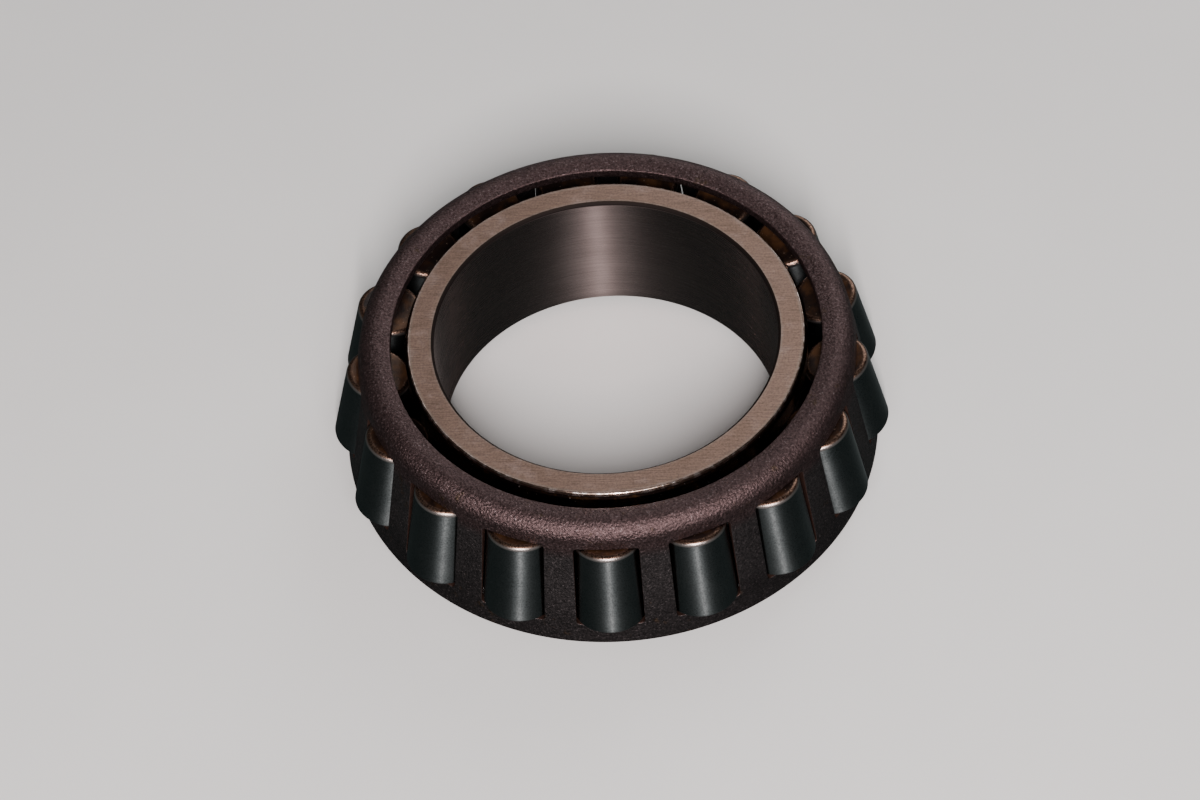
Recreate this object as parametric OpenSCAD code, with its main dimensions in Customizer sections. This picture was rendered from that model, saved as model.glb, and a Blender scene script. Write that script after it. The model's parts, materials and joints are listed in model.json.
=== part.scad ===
// Inner ring, tapered rollers and pressed window cage of a single-row tapered roller bearing.
// The origin is the centre of the inner ring's back face. +Z is the bearing axis and
// points to the small end, and the first roller lies at the front, on the -Y side.

/* [Inner ring] */
// Bore diameter
bore_d = 63.5; // [62.5:0.1:64.5]
// Width from the back face to the front face
ring_w = 30.05; // [29.7:0.05:30.4]
// Outside diameter of the small retaining rib
small_rib_d = 74.4; // [74.1:0.1:75]
// Outside diameter of the large guide rib
large_rib_d = 86; // [84:0.5:90]
// Corner radius where the bore meets the back face
back_corner_r = 3.5; // [2:0.1:3.8]
// Chamfer where the bore meets the front face
front_chamfer = 0.5; // [0.3:0.1:0.8]

/* [Rollers] */
// Number of rollers around the ring
roller_count = 17; // [14:1:17]
// Diameter of each roller at its large end
roller_d = 13.1; // [12.9:0.05:13.2]
// Overall length of each roller
roller_len = 18; // [17.6:0.1:18.1]
// Tilt of a roller's axis from the bearing axis, in degrees
roller_tilt = 12; // [11.8:0.1:12.2]
// Half angle of a roller's own taper, in degrees
roller_taper = 1.7; // [1.68:0.01:1.72]
// Corner radius at the small end of a roller
roller_small_corner = 1; // [0.6:0.1:1.2]
// Corner radius at the large end of a roller
roller_large_corner = 0.6; // [0.4:0.1:0.8]
// Height of a roller's largest section above the back face, on the roller's axis
roller_z = 8.2; // [8.1:0.05:8.4]
// Gap between a roller and the ring's raceway and ribs
roller_play = 0.08; // [0.07:0.01:0.12]

/* [Cage] */
// Thickness of the cage's sheet
sheet_t = 1.8; // [1.5:0.1:2]
// Slope of the cage's wall from the bearing axis, in degrees
cage_slope = 10.6; // [10.2:0.1:11]
// Outside radius of the rounded shoulder at the small end
shoulder_r = 3.5; // [3.2:0.1:3.8]
// Radius of the hole inside the curled lip
lip_r = 39.8; // [39.2:0.1:40.2]
// Height of the cage's open edge above the back face
rim_z = 3.3; // [3:0.1:5]
// Width of a window at the small end
window_small_w = 11.7; // [11.3:0.1:11.9]
// Width of a window at the large end
window_large_w = 12.3; // [12:0.1:12.5]
// Gap between a roller and the cage along the window's sides
window_play = 0.22; // [0.15:0.01:0.25]

/* [Hidden] */
$fn = 96;
// Overlap that makes each cutter pass clean through a surface
eps = 0.5;

// Distances along a roller's axis from the apex that all its cones share
large_s = roller_d / 2 / tan(roller_taper);
large_face_s = large_s + roller_large_corner;
small_face_s = large_face_s - roller_len;
// Height of the shared apex above the back face
apex_z = roller_z + large_s * cos(roller_tilt);
// The raceway ends in relief grooves below both ribs
relief_r = 0.5;
small_rib_gap = 0.4;
// Width and height of the chamfer on the small rib
small_rib_chamfer = [0.66, 1.15];
large_rib_edge = 0.6;

// The shoulder's arc has its centre here, as radius and height
shoulder_c = [42.4, ring_w - 2.9];
lip_slope = 12;
window_corner_r = 0.7;
// Free length past a roller's small and large end. The cage hangs on the small ends.
window_small_gap = 0.15;
window_large_gap = 0.6;
// Steps that round the shoulder and each window corner
shoulder_steps = 12;
window_steps = 4;

function roller_name(i) = str("roller_", i < 10 ? "0" : "", i);

// Point in the [radius, height] plane: s along a roller's axis from the apex, h outward from it
function by_roller(s, h) = [
    s * sin(roller_tilt) + h * cos(roller_tilt),
    apex_z - s * cos(roller_tilt) + h * sin(roller_tilt)
];

// Point on a roller's end plane s at the given radius from the bearing axis
function on_end_plane(s, radius) =
    by_roller(s, (radius - s * sin(roller_tilt)) / cos(roller_tilt));

// Point of the inner raceway beside the roller's section s
function on_raceway(s) = by_roller(s, -s * tan(roller_taper) - roller_play);

// Square corner less its rounding, to cut a radius r from a profile's corner at p.
// dir holds the signs of the way from the corner into the material.
module corner_round(p, dir, r) {
    translate(p)
        scale([dir[0], dir[1]])
            difference() {
                translate([-eps, -eps])
                    square(r + eps);
                translate([r, r])
                    circle(r);
            }
}

// Triangle that cuts a chamfer of size c from a profile's corner at p
module corner_chamfer(p, dir, c) {
    translate(p)
        scale([dir[0], dir[1]])
            polygon([[-eps, -eps], [c + eps, -eps], [-eps, c + eps]]);
}

module ring_profile() {
    bore_r = bore_d / 2;
    small_r = small_rib_d / 2;
    large_r = large_rib_d / 2;
    guide_s = large_face_s + roller_play;
    stop_s = small_face_s - small_rib_gap;
    difference() {
        polygon([
            [bore_r, 0],
            [large_r, 0],
            on_end_plane(guide_s, large_r),
            on_raceway(guide_s),
            on_raceway(stop_s),
            on_end_plane(stop_s, small_r),
            [small_r, ring_w - small_rib_chamfer[1]],
            [small_r - small_rib_chamfer[0], ring_w],
            [bore_r, ring_w]
        ]);
        corner_round([bore_r, 0], [1, 1], back_corner_r);
        corner_chamfer([bore_r, ring_w], [1, -1], front_chamfer);
        corner_round([large_r, 0], [-1, 1], large_rib_edge);
        translate(on_raceway(guide_s - relief_r / 2))
            circle(relief_r);
        translate(on_raceway(stop_s + relief_r / 2))
            circle(relief_r);
    }
}

module inner_ring() {
    color([0.68, 0.58, 0.52])
        rotate_extrude()
            ring_profile();
}

// Puts its children on the axis of roller i, with the origin at the shared apex and +Z
// towards the roller's large end
module on_roller_axis(i) {
    rotate([0, 0, -90 + (i - 1) * 360 / roller_count])
        translate([0, 0, apex_z])
            rotate([0, 180 - roller_tilt, 0])
                children();
}

// Half of a roller's section: radius across, distance from its small end face upwards
module roller_profile() {
    small_c = roller_small_corner;
    large_c = roller_large_corner;
    dish_r = 60;
    dish_depth = 0.15;
    // Corner arcs start on the end face and end square to the tapered side
    side = 90 - roller_taper;
    small_p = [
        (small_face_s + small_c) * tan(roller_taper) - small_c / cos(roller_taper),
        small_c
    ];
    large_p = [
        (large_face_s - large_c) * tan(roller_taper) - large_c / cos(roller_taper),
        roller_len - large_c
    ];
    difference() {
        union() {
            polygon([
                [0, 0],
                [small_p[0], 0],
                small_p + small_c * [sin(side), -cos(side)],
                large_p + large_c * [sin(side), -cos(side)],
                [large_p[0], roller_len],
                [0, roller_len]
            ]);
            translate(small_p)
                circle(small_c);
            translate(large_p)
                circle(large_c);
        }
        translate([0, dish_depth - dish_r])
            circle(dish_r);
        translate([0, roller_len - dish_depth + dish_r])
            circle(dish_r);
    }
}

module roller(i) {
    color([0.62, 0.67, 0.68])
        on_roller_axis(i)
            translate([0, 0, small_face_s])
                rotate_extrude()
                    intersection() {
                        roller_profile();
                        square([roller_d, roller_len]);
                    }
}

// Points along an arc about c, from angle a0 to angle a1 in the given number of steps
function arc_points(c, r, a0, a1, steps) = [
    for (k = [0:steps])
        let (a = a0 + (a1 - a0) * k / steps)
            c + r * [cos(a), sin(a)]
];

// The cage's surface at distance d from the shoulder's centre line ends at these two
// points: on the open edge, below the wall, and on the hole inside the lip
function wall_end(d) =
    let (run = (shoulder_c[1] + d * sin(cage_slope) - rim_z) / cos(cage_slope))
        shoulder_c + d * [cos(cage_slope), sin(cage_slope)] + run * [sin(cage_slope), -cos(cage_slope)];
function lip_end(d) =
    let (run = (shoulder_c[0] - d * sin(lip_slope) - lip_r) / cos(lip_slope))
        shoulder_c + d * [-sin(lip_slope), cos(lip_slope)] - run * [cos(lip_slope), sin(lip_slope)];

// Section of the cage's sheet: a straight wall, a rounded shoulder and the curled lip
module cage_profile() {
    inner_r = shoulder_r - sheet_t;
    lip_angle = 90 + lip_slope;
    polygon(concat(
        [wall_end(shoulder_r)],
        arc_points(shoulder_c, shoulder_r, cage_slope, lip_angle, shoulder_steps),
        [lip_end(shoulder_r), lip_end(inner_r)],
        arc_points(shoulder_c, inner_r, lip_angle, cage_slope, shoulder_steps),
        [wall_end(inner_r)]
    ));
}

// Outline of a window: distance from the apex across, half width upwards
module window_outline(s0, s1) {
    r = window_corner_r;
    w0 = window_small_w / 2 - r;
    w1 = window_large_w / 2 - r;
    polygon(concat(
        arc_points([s1 - r, w1], r, 0, 90, window_steps),
        arc_points([s0 + r, w0], r, 90, 180, window_steps),
        arc_points([s0 + r, -w0], r, 180, 270, window_steps),
        arc_points([s1 - r, -w1], r, 270, 360, window_steps)
    ));
}

// Space cut from the cage for roller i. The straight punched sides are narrower than the
// roller, and a coined cone inside them fits round the roller.
module window_cut(i) {
    s0 = small_face_s - window_small_gap;
    s1 = large_face_s + window_large_gap;
    reach = roller_d;
    on_roller_axis(i) {
        rotate([0, -90, 0])
            linear_extrude(reach)
                window_outline(s0, s1);
        translate([0, 0, s0])
            cylinder(
                s1 - s0,
                s0 * tan(roller_taper) + window_play,
                s1 * tan(roller_taper) + window_play
            );
    }
}

module cage() {
    color([0.30, 0.25, 0.26])
        difference() {
            rotate_extrude()
                cage_profile();
            for (i = [1:roller_count])
                window_cut(i);
        }
}

inner_ring();
cage();
for (i = [1:roller_count])
    roller(i);
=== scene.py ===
"""Looks of a tapered roller bearing's inner ring, rollers and cage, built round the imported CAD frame.

All lengths are metres. Sections are lists of (radius, height) points in the bearing's own frame.
"""

import json
import math

import bmesh
import bpy
from mathutils import Matrix, Quaternion, Vector


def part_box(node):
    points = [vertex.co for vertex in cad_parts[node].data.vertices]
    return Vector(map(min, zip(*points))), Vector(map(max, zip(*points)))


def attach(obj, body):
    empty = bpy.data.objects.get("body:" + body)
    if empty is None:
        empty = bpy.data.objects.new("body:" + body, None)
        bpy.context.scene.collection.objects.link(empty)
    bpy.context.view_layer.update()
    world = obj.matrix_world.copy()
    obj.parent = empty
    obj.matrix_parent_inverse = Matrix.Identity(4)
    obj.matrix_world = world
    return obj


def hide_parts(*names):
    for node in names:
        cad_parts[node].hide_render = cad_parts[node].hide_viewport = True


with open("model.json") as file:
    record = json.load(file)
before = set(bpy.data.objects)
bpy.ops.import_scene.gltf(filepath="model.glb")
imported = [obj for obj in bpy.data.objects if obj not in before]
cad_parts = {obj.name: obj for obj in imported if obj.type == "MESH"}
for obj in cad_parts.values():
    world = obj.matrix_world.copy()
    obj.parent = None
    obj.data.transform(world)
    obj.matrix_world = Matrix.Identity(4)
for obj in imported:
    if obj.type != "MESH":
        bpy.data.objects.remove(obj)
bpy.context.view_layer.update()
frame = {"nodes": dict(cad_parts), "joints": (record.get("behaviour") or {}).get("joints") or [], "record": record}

MM = 0.001

# Sizes that the CAD part also has
BACK_CORNER_R = 3.5 * MM
FRONT_CHAMFER = 0.5 * MM
RIB_CHAMFER_W = 0.66 * MM
RIB_CHAMFER_H = 1.15 * MM
RIB_EDGE_R = 0.6 * MM
SMALL_CORNER_R = 1.0 * MM
LARGE_CORNER_R = 0.6 * MM
ROLLER_TAPER = math.radians(1.7)
ROLLER_PLAY = 0.08 * MM
DISH_R = 60 * MM
DISH_DEPTH = 0.15 * MM
SMALL_RIB_GAP = 0.4 * MM
SHEET_T = 1.8 * MM
SHOULDER_R = 3.5 * MM
CAGE_SLOPE = math.radians(10.6)
LIP_SLOPE = math.radians(12)
WINDOW_SMALL_W = 11.7 * MM
WINDOW_LARGE_W = 12.3 * MM
WINDOW_CORNER_R = 0.7 * MM
WINDOW_SMALL_GAP = 0.15 * MM
WINDOW_LARGE_GAP = 0.6 * MM
WINDOW_PLAY = 0.22 * MM

# Camera, from the centre of the ring's front face
CAMERA_AZIMUTH = math.radians(3.7)
CAMERA_ELEVATION = math.radians(50.97)
CAMERA_ROLL = math.radians(-4.83)
CAMERA_DISTANCE = 0.6028
CAMERA_LENS_MM = 98.3
AIM_TOWARDS_CAMERA = 0.0155
AIM_LEFT = 0.00195
NEAREST_SEEN = 0.01

# Studio lights: place, width, height, power in watts and colour
WHITE = (1.0, 1.0, 1.0)
SOFTBOXES = {
    "key": ((0.04, -0.62, 0.60), 0.022, 0.30, 8.6, (1.0, 0.90, 0.89)),
    "glow": ((0.04, -0.66, 0.64), 0.50, 0.30, 5.0, WHITE),
    "top": ((0.42, 0.70, 0.80), 0.6, 0.5, 2.1, WHITE),
    "back": ((0.30, 0.85, 0.40), 0.9, 0.3, 2.0, WHITE),
}
WORLD_TONE = (0.80, 0.78, 0.76)
WORLD_STRENGTH = 0.16
FLOOR_HALF = 3.0
# The floor lies this far below the ring, so that the two don't flicker
FLOOR_DROP = 0.05 * MM


# ------------------------------------------------------------ measures of the frame

bore_mount = next(m for m in frame["record"]["mounts"] if m["name"] == "bore")
bore_r = bore_mount["dims"]["r_mm"] * MM
ring_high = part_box("inner_ring")[1]
ring_w = ring_high.z
large_rib_r = ring_high.x
cage_low, cage_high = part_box("cage")
rim_z = cage_low.z

roller_joints = {j["child"]: j for j in frame["joints"] if j["child"].startswith("roller_")}
roller_names = sorted(roller_joints)
roller_count = len(roller_names)
half_pitch = math.pi / roller_count


def cad_points(node):
    return [v.co for v in frame["nodes"][node].data.vertices]


def roller_place(name):
    """Centre and axis of a roller. The axis points to the small end."""
    joint = roller_joints[name]
    return Vector(joint["pos_m"]), Vector(joint["axis"]).normalized()


first_centre, first_axis = roller_place(roller_names[0])
roller_along = [(p - first_centre).dot(first_axis) for p in cad_points(roller_names[0])]
roller_len = max(roller_along) - min(roller_along)
tilt = math.acos(first_axis.z)
# Every roller's axis meets the bearing's axis at one apex. s is the distance from it.
apex_z = first_centre.z + first_centre.xy.length / math.tan(tilt)
middle_s = first_centre.xy.length / math.sin(tilt)
small_face_s = middle_s - roller_len / 2
large_face_s = middle_s + roller_len / 2
small_end_r = small_face_s * math.tan(ROLLER_TAPER)
large_end_r = large_face_s * math.tan(ROLLER_TAPER)

cage_radii = [p.xy.length for p in cad_points("cage")]
lip_r = min(cage_radii)
rim_r = max(cage_radii)
above_rib_z = ring_w - 2 * MM
small_rib_r = max(p.xy.length for p in cad_points("inner_ring") if p.z > above_rib_z)

# Centre of the cage's shoulder arc, as radius and height
bend_z = cage_high.z - SHOULDER_R
bend_r = (
    rim_r
    - SHOULDER_R * math.cos(CAGE_SLOPE)
    - (bend_z + SHOULDER_R * math.sin(CAGE_SLOPE) - rim_z) * math.tan(CAGE_SLOPE)
)


# ------------------------------------------------------------ sections

def by_roller(s, h):
    """(radius, height) of a point s along a roller's axis from the apex and h outward from it."""
    return Vector(
        (
            s * math.sin(tilt) + h * math.cos(tilt),
            apex_z - s * math.cos(tilt) + h * math.sin(tilt),
        )
    )


def on_end_plane(s, radius):
    return by_roller(s, (radius - s * math.sin(tilt)) / math.cos(tilt))


def on_raceway(s, depth=0.0):
    return by_roller(s, -s * math.tan(ROLLER_TAPER) - ROLLER_PLAY - depth)


def arc(centre, radius, start, end, steps):
    """Points of an arc about a centre, both ends included."""
    angles = [start + (end - start) * k / steps for k in range(steps + 1)]
    return [centre + radius * Vector((math.cos(a), math.sin(a))) for a in angles]


def rounded(corners, closed=True):
    """Section through corners (point, radius, steps), each rounded by an arc tangent to its sides."""
    points = []
    count = len(corners)
    for i, (corner, radius, steps) in enumerate(corners):
        if not closed and i in (0, count - 1):
            points.append(corner)
            continue
        back = (corners[i - 1][0] - corner).normalized()
        ahead = (corners[(i + 1) % count][0] - corner).normalized()
        half = math.acos(max(-1.0, min(1.0, back.dot(ahead)))) / 2
        centre = corner + (back + ahead).normalized() * radius / math.sin(half)
        first = corner + back * radius / math.tan(half) - centre
        last = corner + ahead * radius / math.tan(half) - centre
        start = math.atan2(first.y, first.x)
        turn = math.atan2(last.y, last.x) - start
        turn = (turn + math.pi) % (2 * math.pi) - math.pi
        points += arc(centre, radius, start, start + turn, steps)
    return points


def ring_section():
    """Section of the ring: back face, large rib, raceway between two grooves, small rib, bore."""
    guide_s = large_face_s + ROLLER_PLAY
    stop_s = small_face_s - SMALL_RIB_GAP
    groove = 0.25 * MM
    groove_w = 0.7 * MM
    groove_r = 0.15 * MM
    raceway_edge_r = 0.12 * MM
    guide_edge_r = 0.35 * MM
    stop_edge_r = 0.25 * MM
    rib_blend_r = 0.5 * MM
    bore_blend_r = 0.08 * MM
    return rounded(
        [
            (Vector((bore_r, 0)), BACK_CORNER_R, 14),
            (Vector((large_rib_r, 0)), RIB_EDGE_R, 7),
            (on_end_plane(guide_s, large_rib_r), guide_edge_r, 5),
            (on_raceway(guide_s, groove), groove_r, 4),
            (on_raceway(guide_s - groove_w, groove), groove_r, 4),
            (on_raceway(guide_s - groove_w - groove), raceway_edge_r, 3),
            (on_raceway(stop_s + groove_w + groove), raceway_edge_r, 3),
            (on_raceway(stop_s + groove_w, groove), groove_r, 4),
            (on_raceway(stop_s, groove), groove_r, 4),
            (on_end_plane(stop_s, small_rib_r), stop_edge_r, 4),
            (Vector((small_rib_r, ring_w - RIB_CHAMFER_H)), rib_blend_r, 5),
            (Vector((small_rib_r - RIB_CHAMFER_W, ring_w)), rib_blend_r, 9),
            (Vector((bore_r + FRONT_CHAMFER, ring_w)), bore_blend_r, 3),
            (Vector((bore_r, ring_w - FRONT_CHAMFER)), bore_blend_r, 3),
        ]
    )


def roller_section():
    """From the middle of the small end to the middle of the large end, as (radius, height)."""
    half = roller_len / 2
    dish_edge = math.sqrt(2 * DISH_R * DISH_DEPTH)
    dish_steps = 6
    rise = [dish_edge * k / dish_steps for k in range(dish_steps + 1)]
    small_dish = [Vector((r, half - DISH_DEPTH + r * r / (2 * DISH_R))) for r in rise]
    large_dish = [Vector((p.x, -p.y)) for p in reversed(small_dish)]
    outline = rounded(
        [
            (small_dish[-1], 0, 0),
            (Vector((small_end_r, half)), SMALL_CORNER_R, 10),
            (Vector((large_end_r, -half)), LARGE_CORNER_R, 8),
            (large_dish[0], 0, 0),
        ],
        closed=False,
    )
    return small_dish[:-1] + outline + large_dish[1:]


# ------------------------------------------------------------ meshes

def quads_between(bm, loop_a, loop_b, closed):
    count = len(loop_a)
    for i in range(count if closed else count - 1):
        j = (i + 1) % count
        corners = [loop_a[i], loop_a[j], loop_b[j], loop_b[i]]
        distinct = [v for k, v in enumerate(corners) if v is not corners[k - 1]]
        if len(distinct) > 2:
            bm.faces.new(distinct)


def lathe(section, turns, closed):
    """Mesh of a section turned about Z. A point at radius 0 becomes one vertex."""
    bm = bmesh.new()
    rows = []
    for p in section:
        if p.x < 1e-9:
            rows.append([bm.verts.new((0, 0, p.y))] * turns)
            continue
        angles = [2 * math.pi * k / turns for k in range(turns)]
        rows.append([bm.verts.new((p.x * math.cos(a), p.x * math.sin(a), p.y)) for a in angles])
    for k in range(len(rows) if closed else len(rows) - 1):
        quads_between(bm, rows[k], rows[(k + 1) % len(rows)], True)
    return bm


def finished_mesh(name, bm, materials):
    bmesh.ops.recalc_face_normals(bm, faces=bm.faces)
    for face in bm.faces:
        face.smooth = True
    mesh = bpy.data.meshes.new(name)
    bm.to_mesh(mesh)
    bm.free()
    for material in materials:
        mesh.materials.append(material)
    return mesh


def add_piece(name, mesh, node, place=None):
    """Shows a mesh in place of a CAD node, riding on that node's body."""
    piece = bpy.data.objects.new(name, mesh)
    bpy.context.scene.collection.objects.link(piece)
    if place is not None:
        piece.matrix_world = place
    flat = piece.modifiers.new("flat_faces_stay_flat", "WEIGHTED_NORMAL")
    flat.weight = 90
    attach(piece, node)
    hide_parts(node)
    return piece


# ------------------------------------------------------------ the cage's sheet

CAGE_EDGE = 0.14 * MM
END_STEPS = 12
SIDE_STEPS = 20
CORNER_STEPS = 6
# A rounded edge passes this share of its radius inside the square corner
EDGE_INSET = 1 - math.sqrt(0.5)


def wall_point(angle, v, depth):
    """Point of the cage's wall, v down from the shoulder and depth below the outer surface."""
    d = SHOULDER_R - depth
    r = bend_r + d * math.cos(CAGE_SLOPE) + v * math.sin(CAGE_SLOPE)
    z = bend_z + d * math.sin(CAGE_SLOPE) - v * math.cos(CAGE_SLOPE)
    return Vector((r * math.cos(angle), r * math.sin(angle), z))


def wall_length(depth):
    d = SHOULDER_R - depth
    return (bend_z + d * math.sin(CAGE_SLOPE) - rim_z) / math.cos(CAGE_SLOPE)


def lip_length(depth):
    return (bend_r - (SHOULDER_R - depth) * math.sin(LIP_SLOPE) - lip_r) / math.cos(LIP_SLOPE)


def lip_point(run, depth):
    """(radius, height) on the lip, run in from the shoulder."""
    d = SHOULDER_R - depth
    return Vector(
        (
            bend_r - d * math.sin(LIP_SLOPE) - run * math.cos(LIP_SLOPE),
            bend_z + d * math.cos(LIP_SLOPE) - run * math.sin(LIP_SLOPE),
        )
    )


def edge_steps():
    """(inset, depth) pairs that carry a surface round a rounded edge to the other surface."""
    e = CAGE_EDGE
    return [
        (e * EDGE_INSET, e * EDGE_INSET),
        (0, e),
        (0, SHEET_T * 0.3),
        (0, SHEET_T * 0.5),
        (0, SHEET_T * 0.7),
        (0, SHEET_T - e),
        (e * EDGE_INSET, SHEET_T - e * EDGE_INSET),
    ]


def height_on_wall(s, w, depth):
    """Distance h outward from the roller's axis at which (s, h, w) is depth below the wall."""
    h = SHOULDER_R
    for _ in range(6):
        x = s * math.sin(tilt) + h * math.cos(tilt)
        z = apex_z - s * math.cos(tilt) + h * math.sin(tilt)
        r = math.hypot(x, w)
        miss = (r - bend_r) * math.cos(CAGE_SLOPE) + (z - bend_z) * math.sin(CAGE_SLOPE)
        miss -= SHOULDER_R - depth
        slope = x / r * math.cos(tilt) * math.cos(CAGE_SLOPE) + math.sin(tilt) * math.sin(CAGE_SLOPE)
        h -= miss / slope
    return h


def window_outline():
    """Window edge as (s, w, normal in s, normal in w, beside the roller), in four sides.

    The sides are the small end, w positive, the large end and w negative, each from the
    middle of one corner to the middle of the next.
    """
    r = WINDOW_CORNER_R
    s0 = small_face_s - WINDOW_SMALL_GAP
    s1 = large_face_s + WINDOW_LARGE_GAP
    w0 = WINDOW_SMALL_W / 2
    w1 = WINDOW_LARGE_W / 2
    # Each corner: centre s, centre w, angle of the normal where its arc starts
    corners = [
        (s0 + r, w0 - r, 180),
        (s1 - r, w1 - r, 90),
        (s1 - r, r - w1, 0),
        (s0 + r, r - w0, -90),
    ]
    sides = []
    for k, steps in enumerate((END_STEPS, SIDE_STEPS, END_STEPS, SIDE_STEPS)):
        beside = k % 2 == 1
        side = []
        for corner, first_half in ((corners[k - 1], False), (corners[k], True)):
            sc, wc, start = corner
            lo, hi = (0, CORNER_STEPS // 2) if first_half else (CORNER_STEPS // 2, CORNER_STEPS)
            half = []
            for q in range(lo, hi + 1):
                a = math.radians(start - 90 * q / CORNER_STEPS)
                n = (math.cos(a), math.sin(a))
                half.append((sc + r * n[0], wc + r * n[1], n[0], n[1], beside))
            side.append(half)
        a, b = side[0][-1], side[1][0]
        straight = []
        for q in range(1, steps):
            t = q / steps
            straight.append(tuple(p + (o - p) * t for p, o in zip(a[:4], b[:4])) + (beside,))
        sides.append(side[0] + straight + side[1])
    return sides


def window_point(entry, inset, depth):
    """Point of a window's wall. Beside the roller the wall gives way to a cone round it."""
    s, w, ns, nw, beside = entry
    s += ns * inset
    if beside:
        round_roller = s * math.tan(ROLLER_TAPER) + WINDOW_PLAY
        for _ in range(4):
            h = height_on_wall(s, w, depth)
            reach = round_roller**2 - h**2
            if reach > 0:
                w = math.copysign(max(abs(w), math.sqrt(reach)), w)
    w += nw * inset
    h = height_on_wall(s, w, depth)
    return Vector(
        (
            s * math.sin(tilt) + h * math.cos(tilt),
            w,
            apex_z - s * math.cos(tilt) + h * math.sin(tilt),
        )
    )


def on_wall(p):
    """(angle, v) of a point of the wall."""
    r = p.xy.length
    v = (r - bend_r) * math.sin(CAGE_SLOPE) - (p.z - bend_z) * math.cos(CAGE_SLOPE)
    return math.atan2(p.y, p.x), v


def pitch_border(depth):
    """Border of one pitch of the wall as (angle, v), in the same order as window_outline()."""
    end_count = END_STEPS + CORNER_STEPS
    side_count = SIDE_STEPS + CORNER_STEPS
    v_end = wall_length(depth) - CAGE_EDGE
    across = [half_pitch * (2 * k / end_count - 1) for k in range(end_count + 1)]
    down = [v_end * k / side_count for k in range(side_count + 1)]
    return [
        [(a, 0.0) for a in across],
        [(half_pitch, v) for v in down],
        [(-a, v_end) for a in across],
        [(-half_pitch, v_end - v) for v in down],
    ]


def closed_loop(sides):
    """Joins four sides into one loop, dropping each side's last point."""
    return [p for side in sides for p in side[:-1]]


def surface_loops(outline, depth):
    """Loops from the pitch's border to the window's rounded edge on one face of the sheet."""
    border = closed_loop(pitch_border(depth))
    edge = [on_wall(window_point(p, CAGE_EDGE, depth)) for p in outline]
    loops = []
    for share in (1.0, 0.8, 0.6, 0.4, 0.22, 0.08, 0.0):
        loops.append(
            [
                wall_point(a0 + (a1 - a0) * share, v0 + (v1 - v0) * share, depth)
                for (a0, v0), (a1, v1) in zip(edge, border)
            ]
        )
    return loops


def turned(row_point, angles):
    return [
        Vector((row_point.x * math.cos(a), row_point.x * math.sin(a), row_point.y)) for a in angles
    ]


def lip_rows(angles):
    """Rows from the wall's outer face over the shoulder, round the lip's edge and back inside."""
    shoulder_steps = 14
    lip_steps = 4
    lip_angle = math.pi / 2 + LIP_SLOPE
    bend = Vector((bend_r, bend_z))
    rows = arc(bend, SHOULDER_R, CAGE_SLOPE, lip_angle, shoulder_steps)
    end = lip_length(0) - CAGE_EDGE
    rows += [lip_point(end * k / lip_steps, 0) for k in range(1, lip_steps + 1)]
    rows += [lip_point(lip_length(depth) - inset, depth) for inset, depth in edge_steps()]
    end = lip_length(SHEET_T) - CAGE_EDGE
    rows += [lip_point(end * k / lip_steps, SHEET_T) for k in range(lip_steps, 0, -1)]
    rows += arc(bend, SHOULDER_R - SHEET_T, lip_angle, CAGE_SLOPE, shoulder_steps)
    return [turned(p, angles) for p in rows]


def rim_rows(angles):
    """Rows round the open edge, from the outer face to the inner one."""
    rows = [[wall_point(a, wall_length(0) - CAGE_EDGE, 0) for a in angles]]
    for inset, depth in edge_steps():
        rows.append([wall_point(a, wall_length(depth) - inset, depth) for a in angles])
    rows.append([wall_point(a, wall_length(SHEET_T) - CAGE_EDGE, SHEET_T) for a in angles])
    return rows


def cage_mesh(sheet_material, cut_material):
    outline = closed_loop(window_outline())
    loops = surface_loops(outline, 0)
    first_cut = len(loops) - 1
    loops += [[window_point(p, inset, depth) for p in outline] for inset, depth in edge_steps()]
    last_cut = len(loops)
    loops += reversed(surface_loops(outline, SHEET_T))
    end_count = END_STEPS + CORNER_STEPS
    angles = [half_pitch * (2 * k / end_count - 1) for k in range(end_count + 1)]
    strips = [lip_rows(angles), rim_rows(angles)]
    bm = bmesh.new()
    for name in roller_names:
        centre = roller_place(name)[0]
        turn = Matrix.Rotation(math.atan2(centre.y, centre.x), 3, "Z")
        rings = [[bm.verts.new(turn @ p) for p in loop] for loop in loops]
        for k in range(len(rings) - 1):
            before = len(bm.faces)
            quads_between(bm, rings[k], rings[k + 1], True)
            if first_cut + 1 <= k < last_cut - 1:
                bm.faces.ensure_lookup_table()
                for face in bm.faces[before:]:
                    face.material_index = 1
        for strip in strips:
            rows = [[bm.verts.new(turn @ p) for p in row] for row in strip]
            for k in range(len(rows) - 1):
                quads_between(bm, rows[k], rows[k + 1], False)
    bmesh.ops.remove_doubles(bm, verts=bm.verts, dist=0.002 * MM)
    return finished_mesh("cage_sheet", bm, [sheet_material, cut_material])


# ------------------------------------------------------------ materials

# How fast grinding lines change along themselves, per metre and per radian
CHANGE_ALONG_LINE = 240.0
CHANGE_ROUND_ARC = 1.5
LINE_DETAIL = 4.0
LINE_ROUGHNESS = 0.65
# Largest offset, in metres, between the textures of two like pieces
OWN_SHIFT = 7.0


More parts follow.
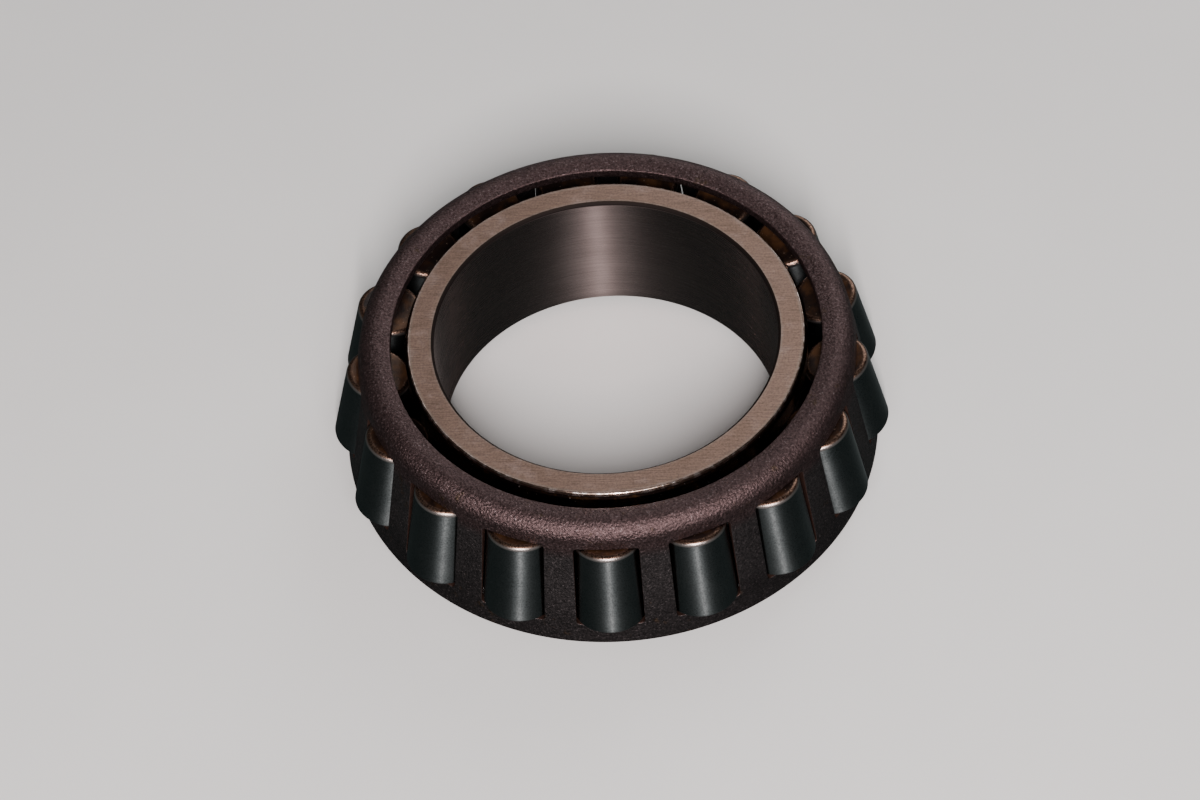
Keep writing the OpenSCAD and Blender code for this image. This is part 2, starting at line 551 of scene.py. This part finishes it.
class Surface:
    """A node material with one Principled shader, and short ways to add nodes to it."""

    def __init__(self, name, **settings):
        self.material = bpy.data.materials.new(name)
        self.material.use_nodes = True
        self.tree = self.material.node_tree
        self.shader = self.tree.nodes["Principled BSDF"]
        self.set(**settings)

    def set(self, **settings):
        """Sets shader inputs, with underscores for the spaces in their names."""
        for name, value in settings.items():
            self.feed(self.shader.inputs[name.replace("_", " ")], value)

    def feed(self, socket, value):
        if isinstance(value, bpy.types.NodeSocket):
            self.tree.links.new(value, socket)
        elif isinstance(value, tuple) and socket.type == "RGBA":
            socket.default_value = value + (1.0,)
        else:
            socket.default_value = value

    def add(self, kind, *values, output=0, **settings):
        node = self.tree.nodes.new("ShaderNode" + kind)
        for name, value in settings.items():
            setattr(node, name, value)
        for socket, value in zip(node.inputs, values):
            self.feed(socket, value)
        return node.outputs[output]

    def math(self, operation, *values):
        return self.add("Math", *values, operation=operation)

    def both(self, a, b):
        """Overlap of two masks."""
        return self.math("MULTIPLY", a, b)

    def either(self, a, b):
        """Two masks joined."""
        return self.math("MAXIMUM", a, b)

    def sum(self, a, b):
        return self.math("ADD", a, b)

    def place(self):
        return self.add("TexCoord", output=3)

    def own_place(self):
        """Place with an offset that differs from object to object."""
        shift = self.math("MULTIPLY", self.add("ObjectInfo", output=5), OWN_SHIFT)
        return self.add("VectorMath", self.place(), shift, operation="ADD")

    def apart(self, vector):
        node = self.tree.nodes.new("ShaderNodeSeparateXYZ")
        self.feed(node.inputs[0], vector)
        return node.outputs

    def radius(self, x, y):
        squares = [self.math("MULTIPLY", value, value) for value in (x, y)]
        return self.math("SQRT", self.sum(*squares))

    def noise(self, vector, scale, detail=2.0, rough=0.5):
        node = self.tree.nodes.new("ShaderNodeTexNoise")
        self.feed(node.inputs["Vector"], vector)
        node.inputs["Scale"].default_value = scale
        node.inputs["Detail"].default_value = detail
        node.inputs["Roughness"].default_value = rough
        return node.outputs[0]

    def cells(self, vector, scale):
        node = self.tree.nodes.new("ShaderNodeTexVoronoi")
        self.feed(node.inputs["Vector"], vector)
        node.inputs["Scale"].default_value = scale
        return node.outputs

    def shade(self, value, start, end, darkest):
        """Grey that rises from darkest at start to white at end."""
        node = self.tree.nodes.new("ShaderNodeValToRGB")
        self.feed(node.inputs[0], value)
        first, last = node.color_ramp.elements
        first.position = start
        first.color = (darkest, darkest, darkest, 1.0)
        last.position = end
        return node.outputs[0]

    def between(self, value, low, high):
        """0 below low, 1 above high, smooth between them."""
        node = self.tree.nodes.new("ShaderNodeMapRange")
        node.interpolation_type = "SMOOTHSTEP"
        self.feed(node.inputs[0], value)
        node.inputs[1].default_value = low
        node.inputs[2].default_value = high
        return node.outputs[0]

    def until(self, value, low, high):
        """1 below low, 0 above high, smooth between them."""
        return self.math("SUBTRACT", 1.0, self.between(value, low, high))

    def scaled(self, value, low, high):
        """Maps 0 to 1 onto low to high."""
        node = self.tree.nodes.new("ShaderNodeMapRange")
        self.feed(node.inputs[0], value)
        node.inputs[3].default_value = low
        node.inputs[4].default_value = high
        return node.outputs[0]

    def mix(self, factor, a, b, blend="MIX"):
        node = self.tree.nodes.new("ShaderNodeMix")
        node.data_type = "RGBA"
        node.blend_type = blend
        self.feed(node.inputs[0], factor)
        self.feed(node.inputs[6], a)
        self.feed(node.inputs[7], b)
        return node.outputs[2]

    def multiply(self, colour, shade, share):
        """The given share of a colour's multiplication by a shade."""
        return self.mix(share, colour, shade, "MULTIPLY")

    def bump(self, height, strength, distance, below=None):
        node = self.tree.nodes.new("ShaderNodeBump")
        node.inputs["Strength"].default_value = strength
        node.inputs["Distance"].default_value = distance
        self.feed(node.inputs["Height"], height)
        if below is not None:
            self.feed(node.inputs["Normal"], below)
        return node.outputs[0]

    def straight_lines(self, place, pitch):
        """Noise that is drawn out along X, as flat grinding leaves it."""
        x, y, z = self.apart(place)
        along = self.math("MULTIPLY", x, CHANGE_ALONG_LINE)
        vector = self.add("CombineXYZ", along, self.math("DIVIDE", y, pitch), z)
        return self.noise(vector, 1.0, LINE_DETAIL, LINE_ROUGHNESS)

    def turning_lines(self, place, pitch):
        """Noise that is drawn out round Z, as grinding and turning leave it."""
        x, y, z = self.apart(place)
        across = self.math("DIVIDE", self.radius(x, y), pitch)
        round_arc = self.math("MULTIPLY", self.math("ARCTAN2", y, x), CHANGE_ROUND_ARC)
        vector = self.add("CombineXYZ", across, round_arc, self.math("DIVIDE", z, pitch))
        return self.noise(vector, 1.0, LINE_DETAIL, LINE_ROUGHNESS)


def around(s):
    """Tangent that runs round the Z axis."""
    return s.add("Tangent", direction_type="RADIAL", axis="Z")


# Tones are linear red, green and blue. A pair runs from the darkest to the palest.
BORE_TONES = ((0.245, 0.192, 0.182), (0.350, 0.275, 0.262))
FACE_TONES = ((0.34, 0.228, 0.170), (0.50, 0.345, 0.285))
FACE_BLOTCH = (0.52, 0.375, 0.32)
FACE_RIM = (0.50, 0.42, 0.37)
RIB_EDGE_TONES = ((0.18, 0.125, 0.10), (0.46, 0.39, 0.36))
# Near black painted shade on the chamfer of the bore
BORE_CHAMFER_PAINTED_SHADE = (0.012, 0.009, 0.008)
OIL_TONES = ((0.028, 0.017, 0.015), (0.12, 0.06, 0.025))
OIL_SPECK = (0.9, 0.85, 0.8)
# Steel grey made darker and tinted teal: painted reflection of dark green surroundings
ROLLER_TONES_WITH_PAINTED_REFLECTION = ((0.132, 0.152, 0.154), (0.198, 0.212, 0.213))
ROLLER_CORNER = (0.50, 0.45, 0.43)
ROLLER_STAIN_TONES = ((0.05, 0.027, 0.020), (0.24, 0.15, 0.11))
AMBER_TONES = ((0.012, 0.007, 0.006), (0.080, 0.036, 0.015))
AMBER_SPECK = (0.45, 0.33, 0.25)
CAGE_LOW_TONES = ((0.052, 0.044, 0.045), (0.080, 0.068, 0.069))
CAGE_BAR_TONES = ((0.074, 0.064, 0.065), (0.110, 0.095, 0.096))
CAGE_BENT_TONES = ((0.088, 0.056, 0.056), (0.140, 0.092, 0.092))
CAGE_PATCH = (0.11, 0.072, 0.05)
CAGE_SPARKLE = (0.24, 0.195, 0.20)
CUT_TONES = ((0.022, 0.011, 0.010), (0.085, 0.045, 0.034))
FLOOR_TONES = ((0.74, 0.74, 0.73), (0.79, 0.79, 0.78))
FLOOR_IN_STEEL = (0.017, 0.028, 0.028)


def oil_tone(s, place):
    """Near black oil with golden brown stains and a few tiny bright specks."""
    stains = s.between(s.noise(place, 420.0, 3.0, 0.6), 0.50, 0.68)
    specks = s.between(s.noise(place, 1500.0, 2.0, 0.6), 0.70, 0.73)
    return s.mix(specks, s.mix(stains, *OIL_TONES), OIL_SPECK)


def ring_zones(s, r, z):
    """Masks of the ring's front face, oiled outside, bore chamfer and rib edge."""
    on_face = s.between(z, ring_w - 0.3 * MM, ring_w - 0.05 * MM)
    outside = s.both(
        s.between(r, small_rib_r - 0.55 * MM, small_rib_r - 0.25 * MM),
        s.between(z, 0.4 * MM, 2 * MM),
    )
    oiled = s.both(outside, s.until(z, ring_w - 0.6 * MM, ring_w - 0.2 * MM))
    in_chamfer = s.both(
        s.until(r, bore_r + 0.46 * MM, bore_r + 0.56 * MM),
        s.between(z, ring_w - 0.95 * MM, ring_w - 0.60 * MM),
    )
    rib_edge = s.both(
        s.between(r, small_rib_r - 0.9 * MM, small_rib_r - 0.75 * MM),
        s.between(z, ring_w - 0.7 * MM, ring_w - 0.6 * MM),
    )
    return on_face, oiled, in_chamfer, rib_edge


def ring_face_tone(s, r, clouds, blotches, grain, ground):
    """Brownish ground steel. Both rims of the face are polished a little paler."""
    tone = s.mix(clouds, *FACE_TONES)
    tone = s.mix(s.between(blotches, 0.52, 0.70), tone, FACE_BLOTCH)
    rims = s.either(
        s.between(r, small_rib_r - 1.35 * MM, small_rib_r - 1.05 * MM),
        s.until(r, bore_r + 0.6 * MM, bore_r + 0.9 * MM),
    )
    tone = s.mix(s.math("MULTIPLY", rims, 0.35), tone, FACE_RIM)
    tone = s.multiply(tone, s.shade(grain, 0.34, 0.6, 0.64), 0.8)
    return s.multiply(tone, s.shade(ground, 0.38, 0.58, 0.6), 0.75)


def ring_material():
    s = Surface("ground_ring_steel", Metallic=1.0, Anisotropic_Rotation=0.25)
    place = s.place()
    x, y, z = s.apart(place)
    r = s.radius(x, y)
    lines = s.turning_lines(place, 0.22 * MM)
    fine = s.turning_lines(place, 0.07 * MM)
    ground = s.straight_lines(place, 0.24 * MM)
    clouds = s.noise(place, 60.0, 4.0, 0.6)
    blotches = s.noise(place, 180.0, 4.0, 0.7)
    grain = s.noise(place, 1 / (0.4 * MM), 3.0, 0.7)
    on_face, oiled, in_chamfer, rib_edge = ring_zones(s, r, z)

    lined = s.shade(s.sum(s.scaled(lines, 0, 0.6), s.scaled(fine, 0, 0.4)), 0.35, 0.6, 0.7)
    bore_tone = s.multiply(s.mix(clouds, *BORE_TONES), lined, 0.8)
    face_tone = s.multiply(ring_face_tone(s, r, clouds, blotches, grain, ground), lined, 0.25)
    tone = s.mix(on_face, bore_tone, face_tone)
    # Old oil darkens everything outside the two faces. The chamfer of the bore is painted near black as painted
    # shade.
    tone = s.mix(oiled, tone, oil_tone(s, place))
    tone = s.mix(s.math("MULTIPLY", in_chamfer, 0.95), tone, BORE_CHAMFER_PAINTED_SHADE)
    # The edge between the face and the rib's chamfer is smooth but wavy, so it glints in beads
    beads = s.between(s.noise(place, 600.0, 2.0, 0.6), 0.48, 0.60)
    tone = s.mix(rib_edge, tone, s.mix(beads, *RIB_EDGE_TONES))

    rough = s.sum(s.scaled(clouds, 0.24, 0.29), s.scaled(fine, -0.03, 0.05))
    rough = s.mix(on_face, rough, s.scaled(ground, 0.42, 0.60))
    rough = s.mix(rib_edge, rough, (0.20, 0.20, 0.20))
    rough = s.mix(in_chamfer, rough, (0.75, 0.75, 0.75))
    turned_height = s.sum(s.scaled(lines, 0, 0.21), s.scaled(fine, 0, 0.09))
    face_height = s.sum(s.scaled(ground, 0, 0.5), s.scaled(grain, 0, 0.8))
    normal = s.bump(s.mix(on_face, turned_height, face_height), 0.5, 0.006 * MM)
    not_bore = s.either(s.either(on_face, in_chamfer), s.either(oiled, rib_edge))
    s.set(
        Base_Color=tone,
        Roughness=rough,
        Anisotropic=s.scaled(not_bore, 1.0, 0.15),
        Normal=s.bump(s.both(rib_edge, blotches), 1.0, 0.12 * MM, normal),
        Tangent=s.mix(on_face, around(s), (1.0, 0.0, 0.0)),
    )
    return s.material


def roller_material():
    s = Surface("honed_roller_steel", Anisotropic_Rotation=0.25)
    place = s.place()
    own = s.own_place()
    x, y, z = s.apart(place)
    lines = s.turning_lines(place, 0.12 * MM)
    clouds = s.noise(own, 140.0, 4.0, 0.6)
    grain = s.noise(own, 1 / (0.3 * MM), 3.0, 0.7)
    # Steel tone, made darker and teal as a painted reflection of dark green surroundings
    tone = s.mix(clouds, *ROLLER_TONES_WITH_PAINTED_REFLECTION)
    tone = s.multiply(tone, s.shade(grain, 0.3, 0.6, 0.5), 0.8)
    # The rounded edge of the small end is bright where it meets the side, then stained brown
    half = roller_len / 2
    corner = s.between(z, half - SMALL_CORNER_R, half - 0.75 * MM)
    tone = s.mix(corner, tone, ROLLER_CORNER)
    stained = s.mix(s.between(grain, 0.35, 0.65), *ROLLER_STAIN_TONES)
    tone = s.mix(s.between(z, half - 0.65 * MM, half - 0.25 * MM), tone, stained)
    # A film of amber oil with fine specks stays on the small end face
    face = s.until(s.radius(x, y), small_end_r - 1.1 * MM, small_end_r - 0.6 * MM)
    film = s.both(corner, face)
    specks = s.between(s.noise(own, 2100.0, 3.0, 0.65), 0.66, 0.76)
    amber = s.mix(s.between(clouds, 0.42, 0.68), *AMBER_TONES)
    rough = s.sum(s.scaled(clouds, 0.25, 0.33), s.scaled(lines, -0.03, 0.05))
    rough = s.sum(rough, s.scaled(grain, -0.05, 0.05))
    normal = s.bump(lines, 0.35, 0.004 * MM)
    s.set(
        Base_Color=s.mix(film, tone, s.mix(specks, amber, AMBER_SPECK)),
        Metallic=s.scaled(film, 1.0, 0.5),
        Roughness=rough,
        Anisotropic=s.scaled(corner, 0.95, 0.0),
        Normal=s.bump(s.both(corner, grain), 0.6, 0.05 * MM, normal),
        Tangent=around(s),
    )
    return s.material


def cage_material():
    s = Surface("phosphated_cage_sheet", Metallic=0.93)
    place = s.place()
    z = s.apart(place)[2]
    grains = s.cells(place, 1 / (0.55 * MM))[0]
    fine = s.noise(place, 1 / (0.4 * MM), 4.0, 0.7)
    clouds = s.noise(place, 90.0, 4.0, 0.65)
    patches = s.noise(place, 260.0, 3.0, 0.7)
    # The wall is darkest at the open edge, and the bent lip and shoulder are redder than it
    on_bars = s.between(z, 7 * MM, 16 * MM)
    bent = s.between(z, bend_z - 4 * MM, bend_z - 1 * MM)
    wall_tone = s.mix(on_bars, s.mix(clouds, *CAGE_LOW_TONES), s.mix(clouds, *CAGE_BAR_TONES))
    tone = s.mix(bent, wall_tone, s.mix(clouds, *CAGE_BENT_TONES))
    tone = s.mix(s.between(patches, 0.62, 0.75), tone, CAGE_PATCH)
    tone = s.multiply(tone, s.shade(fine, 0.35, 0.6, 0.25), 0.9)
    tone = s.mix(s.between(fine, 0.60, 0.70), tone, CAGE_SPARKLE)
    rough = s.sum(s.scaled(clouds, 0.33, 0.43), s.scaled(fine, -0.05, 0.12))
    height = s.sum(s.scaled(grains, 0, -0.5), fine)
    s.set(Base_Color=tone, Roughness=rough, Normal=s.bump(height, 1.0, 0.16 * MM))
    return s.material


def cut_material():
    s = Surface("punched_cage_edge", Metallic=0.6)
    streaks = s.noise(s.place(), 900.0, 3.0, 0.6)
    s.set(
        Base_Color=s.mix(streaks, *CUT_TONES),
        Roughness=s.scaled(streaks, 0.3, 0.5),
        Normal=s.bump(streaks, 0.5, 0.03 * MM),
    )
    return s.material


def floor_material():
    s = Surface("pale_floor")
    place = s.place()
    pale = s.mix(s.noise(place, 30.0, 3.0), *FLOOR_TONES)
    # Seen in the steel the floor is darker, so that the metal keeps its contrast
    in_steel = s.add("LightPath", output=3)
    s.set(
        Base_Color=s.mix(in_steel, pale, FLOOR_IN_STEEL),
        Roughness=s.scaled(s.noise(place, 12.0), 0.5, 0.6),
    )
    return s.material


# ------------------------------------------------------------ pieces

add_piece(
    "inner_ring_ground",
    finished_mesh("inner_ring_ground", lathe(ring_section(), 288, True), [ring_material()]),
    "inner_ring",
)

roller_mesh = finished_mesh("tapered_roller", lathe(roller_section(), 96, False), [roller_material()])
for name in roller_names:
    centre, axis = roller_place(name)
    side = Vector((0, 0, 1)).cross(axis).normalized()
    place = Matrix((side.cross(axis), side, axis)).transposed().to_4x4()
    place.translation = centre
    add_piece(name + "_honed", roller_mesh, name, place)

add_piece("cage_pressed", cage_mesh(cage_material(), cut_material()), "cage")


# ------------------------------------------------------------ floor, light and camera

def add_floor():
    mesh = bpy.data.meshes.new("floor")
    signs = [(-1, -1), (1, -1), (1, 1), (-1, 1)]
    corners = [(FLOOR_HALF * x, FLOOR_HALF * y, 0) for x, y in signs]
    mesh.from_pydata(corners, [], [(0, 1, 2, 3)])
    mesh.materials.append(floor_material())
    floor = bpy.data.objects.new("floor", mesh)
    floor.location.z = -FLOOR_DROP
    bpy.context.scene.collection.objects.link(floor)


def add_softbox(name, place, width, height, power, colour):
    """Rectangular light that faces the middle of the ring."""
    light = bpy.data.lights.new(name, "AREA")
    light.shape = "RECTANGLE"
    light.size = width
    light.size_y = height
    light.energy = power
    light.color = colour
    lamp = bpy.data.objects.new(name, light)
    lamp.location = place
    ring_centre = Vector((0, 0, ring_w / 2))
    lamp.rotation_euler = (ring_centre - Vector(place)).to_track_quat("-Z", "Y").to_euler()
    bpy.context.scene.collection.objects.link(lamp)


def add_world():
    world = bpy.data.worlds.new("studio")
    bpy.context.scene.world = world
    world.use_nodes = True
    background = world.node_tree.nodes["Background"]
    background.inputs["Color"].default_value = WORLD_TONE + (1.0,)
    background.inputs["Strength"].default_value = WORLD_STRENGTH


def add_camera():
    toward = Vector((math.sin(CAMERA_AZIMUTH), -math.cos(CAMERA_AZIMUTH), 0))
    right = Vector((math.cos(CAMERA_AZIMUTH), math.sin(CAMERA_AZIMUTH), 0))
    face = Vector((0, 0, ring_w))
    back = toward * math.cos(CAMERA_ELEVATION) + Vector((0, 0, math.sin(CAMERA_ELEVATION)))
    camera = bpy.data.objects.new("camera", bpy.data.cameras.new("camera"))
    camera.location = face + back * CAMERA_DISTANCE
    aim = face + toward * AIM_TOWARDS_CAMERA - right * AIM_LEFT
    look = (aim - camera.location).to_track_quat("-Z", "Y")
    camera.rotation_mode = "QUATERNION"
    camera.rotation_quaternion = look @ Quaternion((0, 0, 1), CAMERA_ROLL)
    camera.data.lens = CAMERA_LENS_MM
    camera.data.sensor_width = 36
    camera.data.clip_start = NEAREST_SEEN
    bpy.context.scene.collection.objects.link(camera)
    bpy.context.scene.camera = camera


add_floor()
add_world()
for name, settings in SOFTBOXES.items():
    add_softbox(name, *settings)
add_camera()
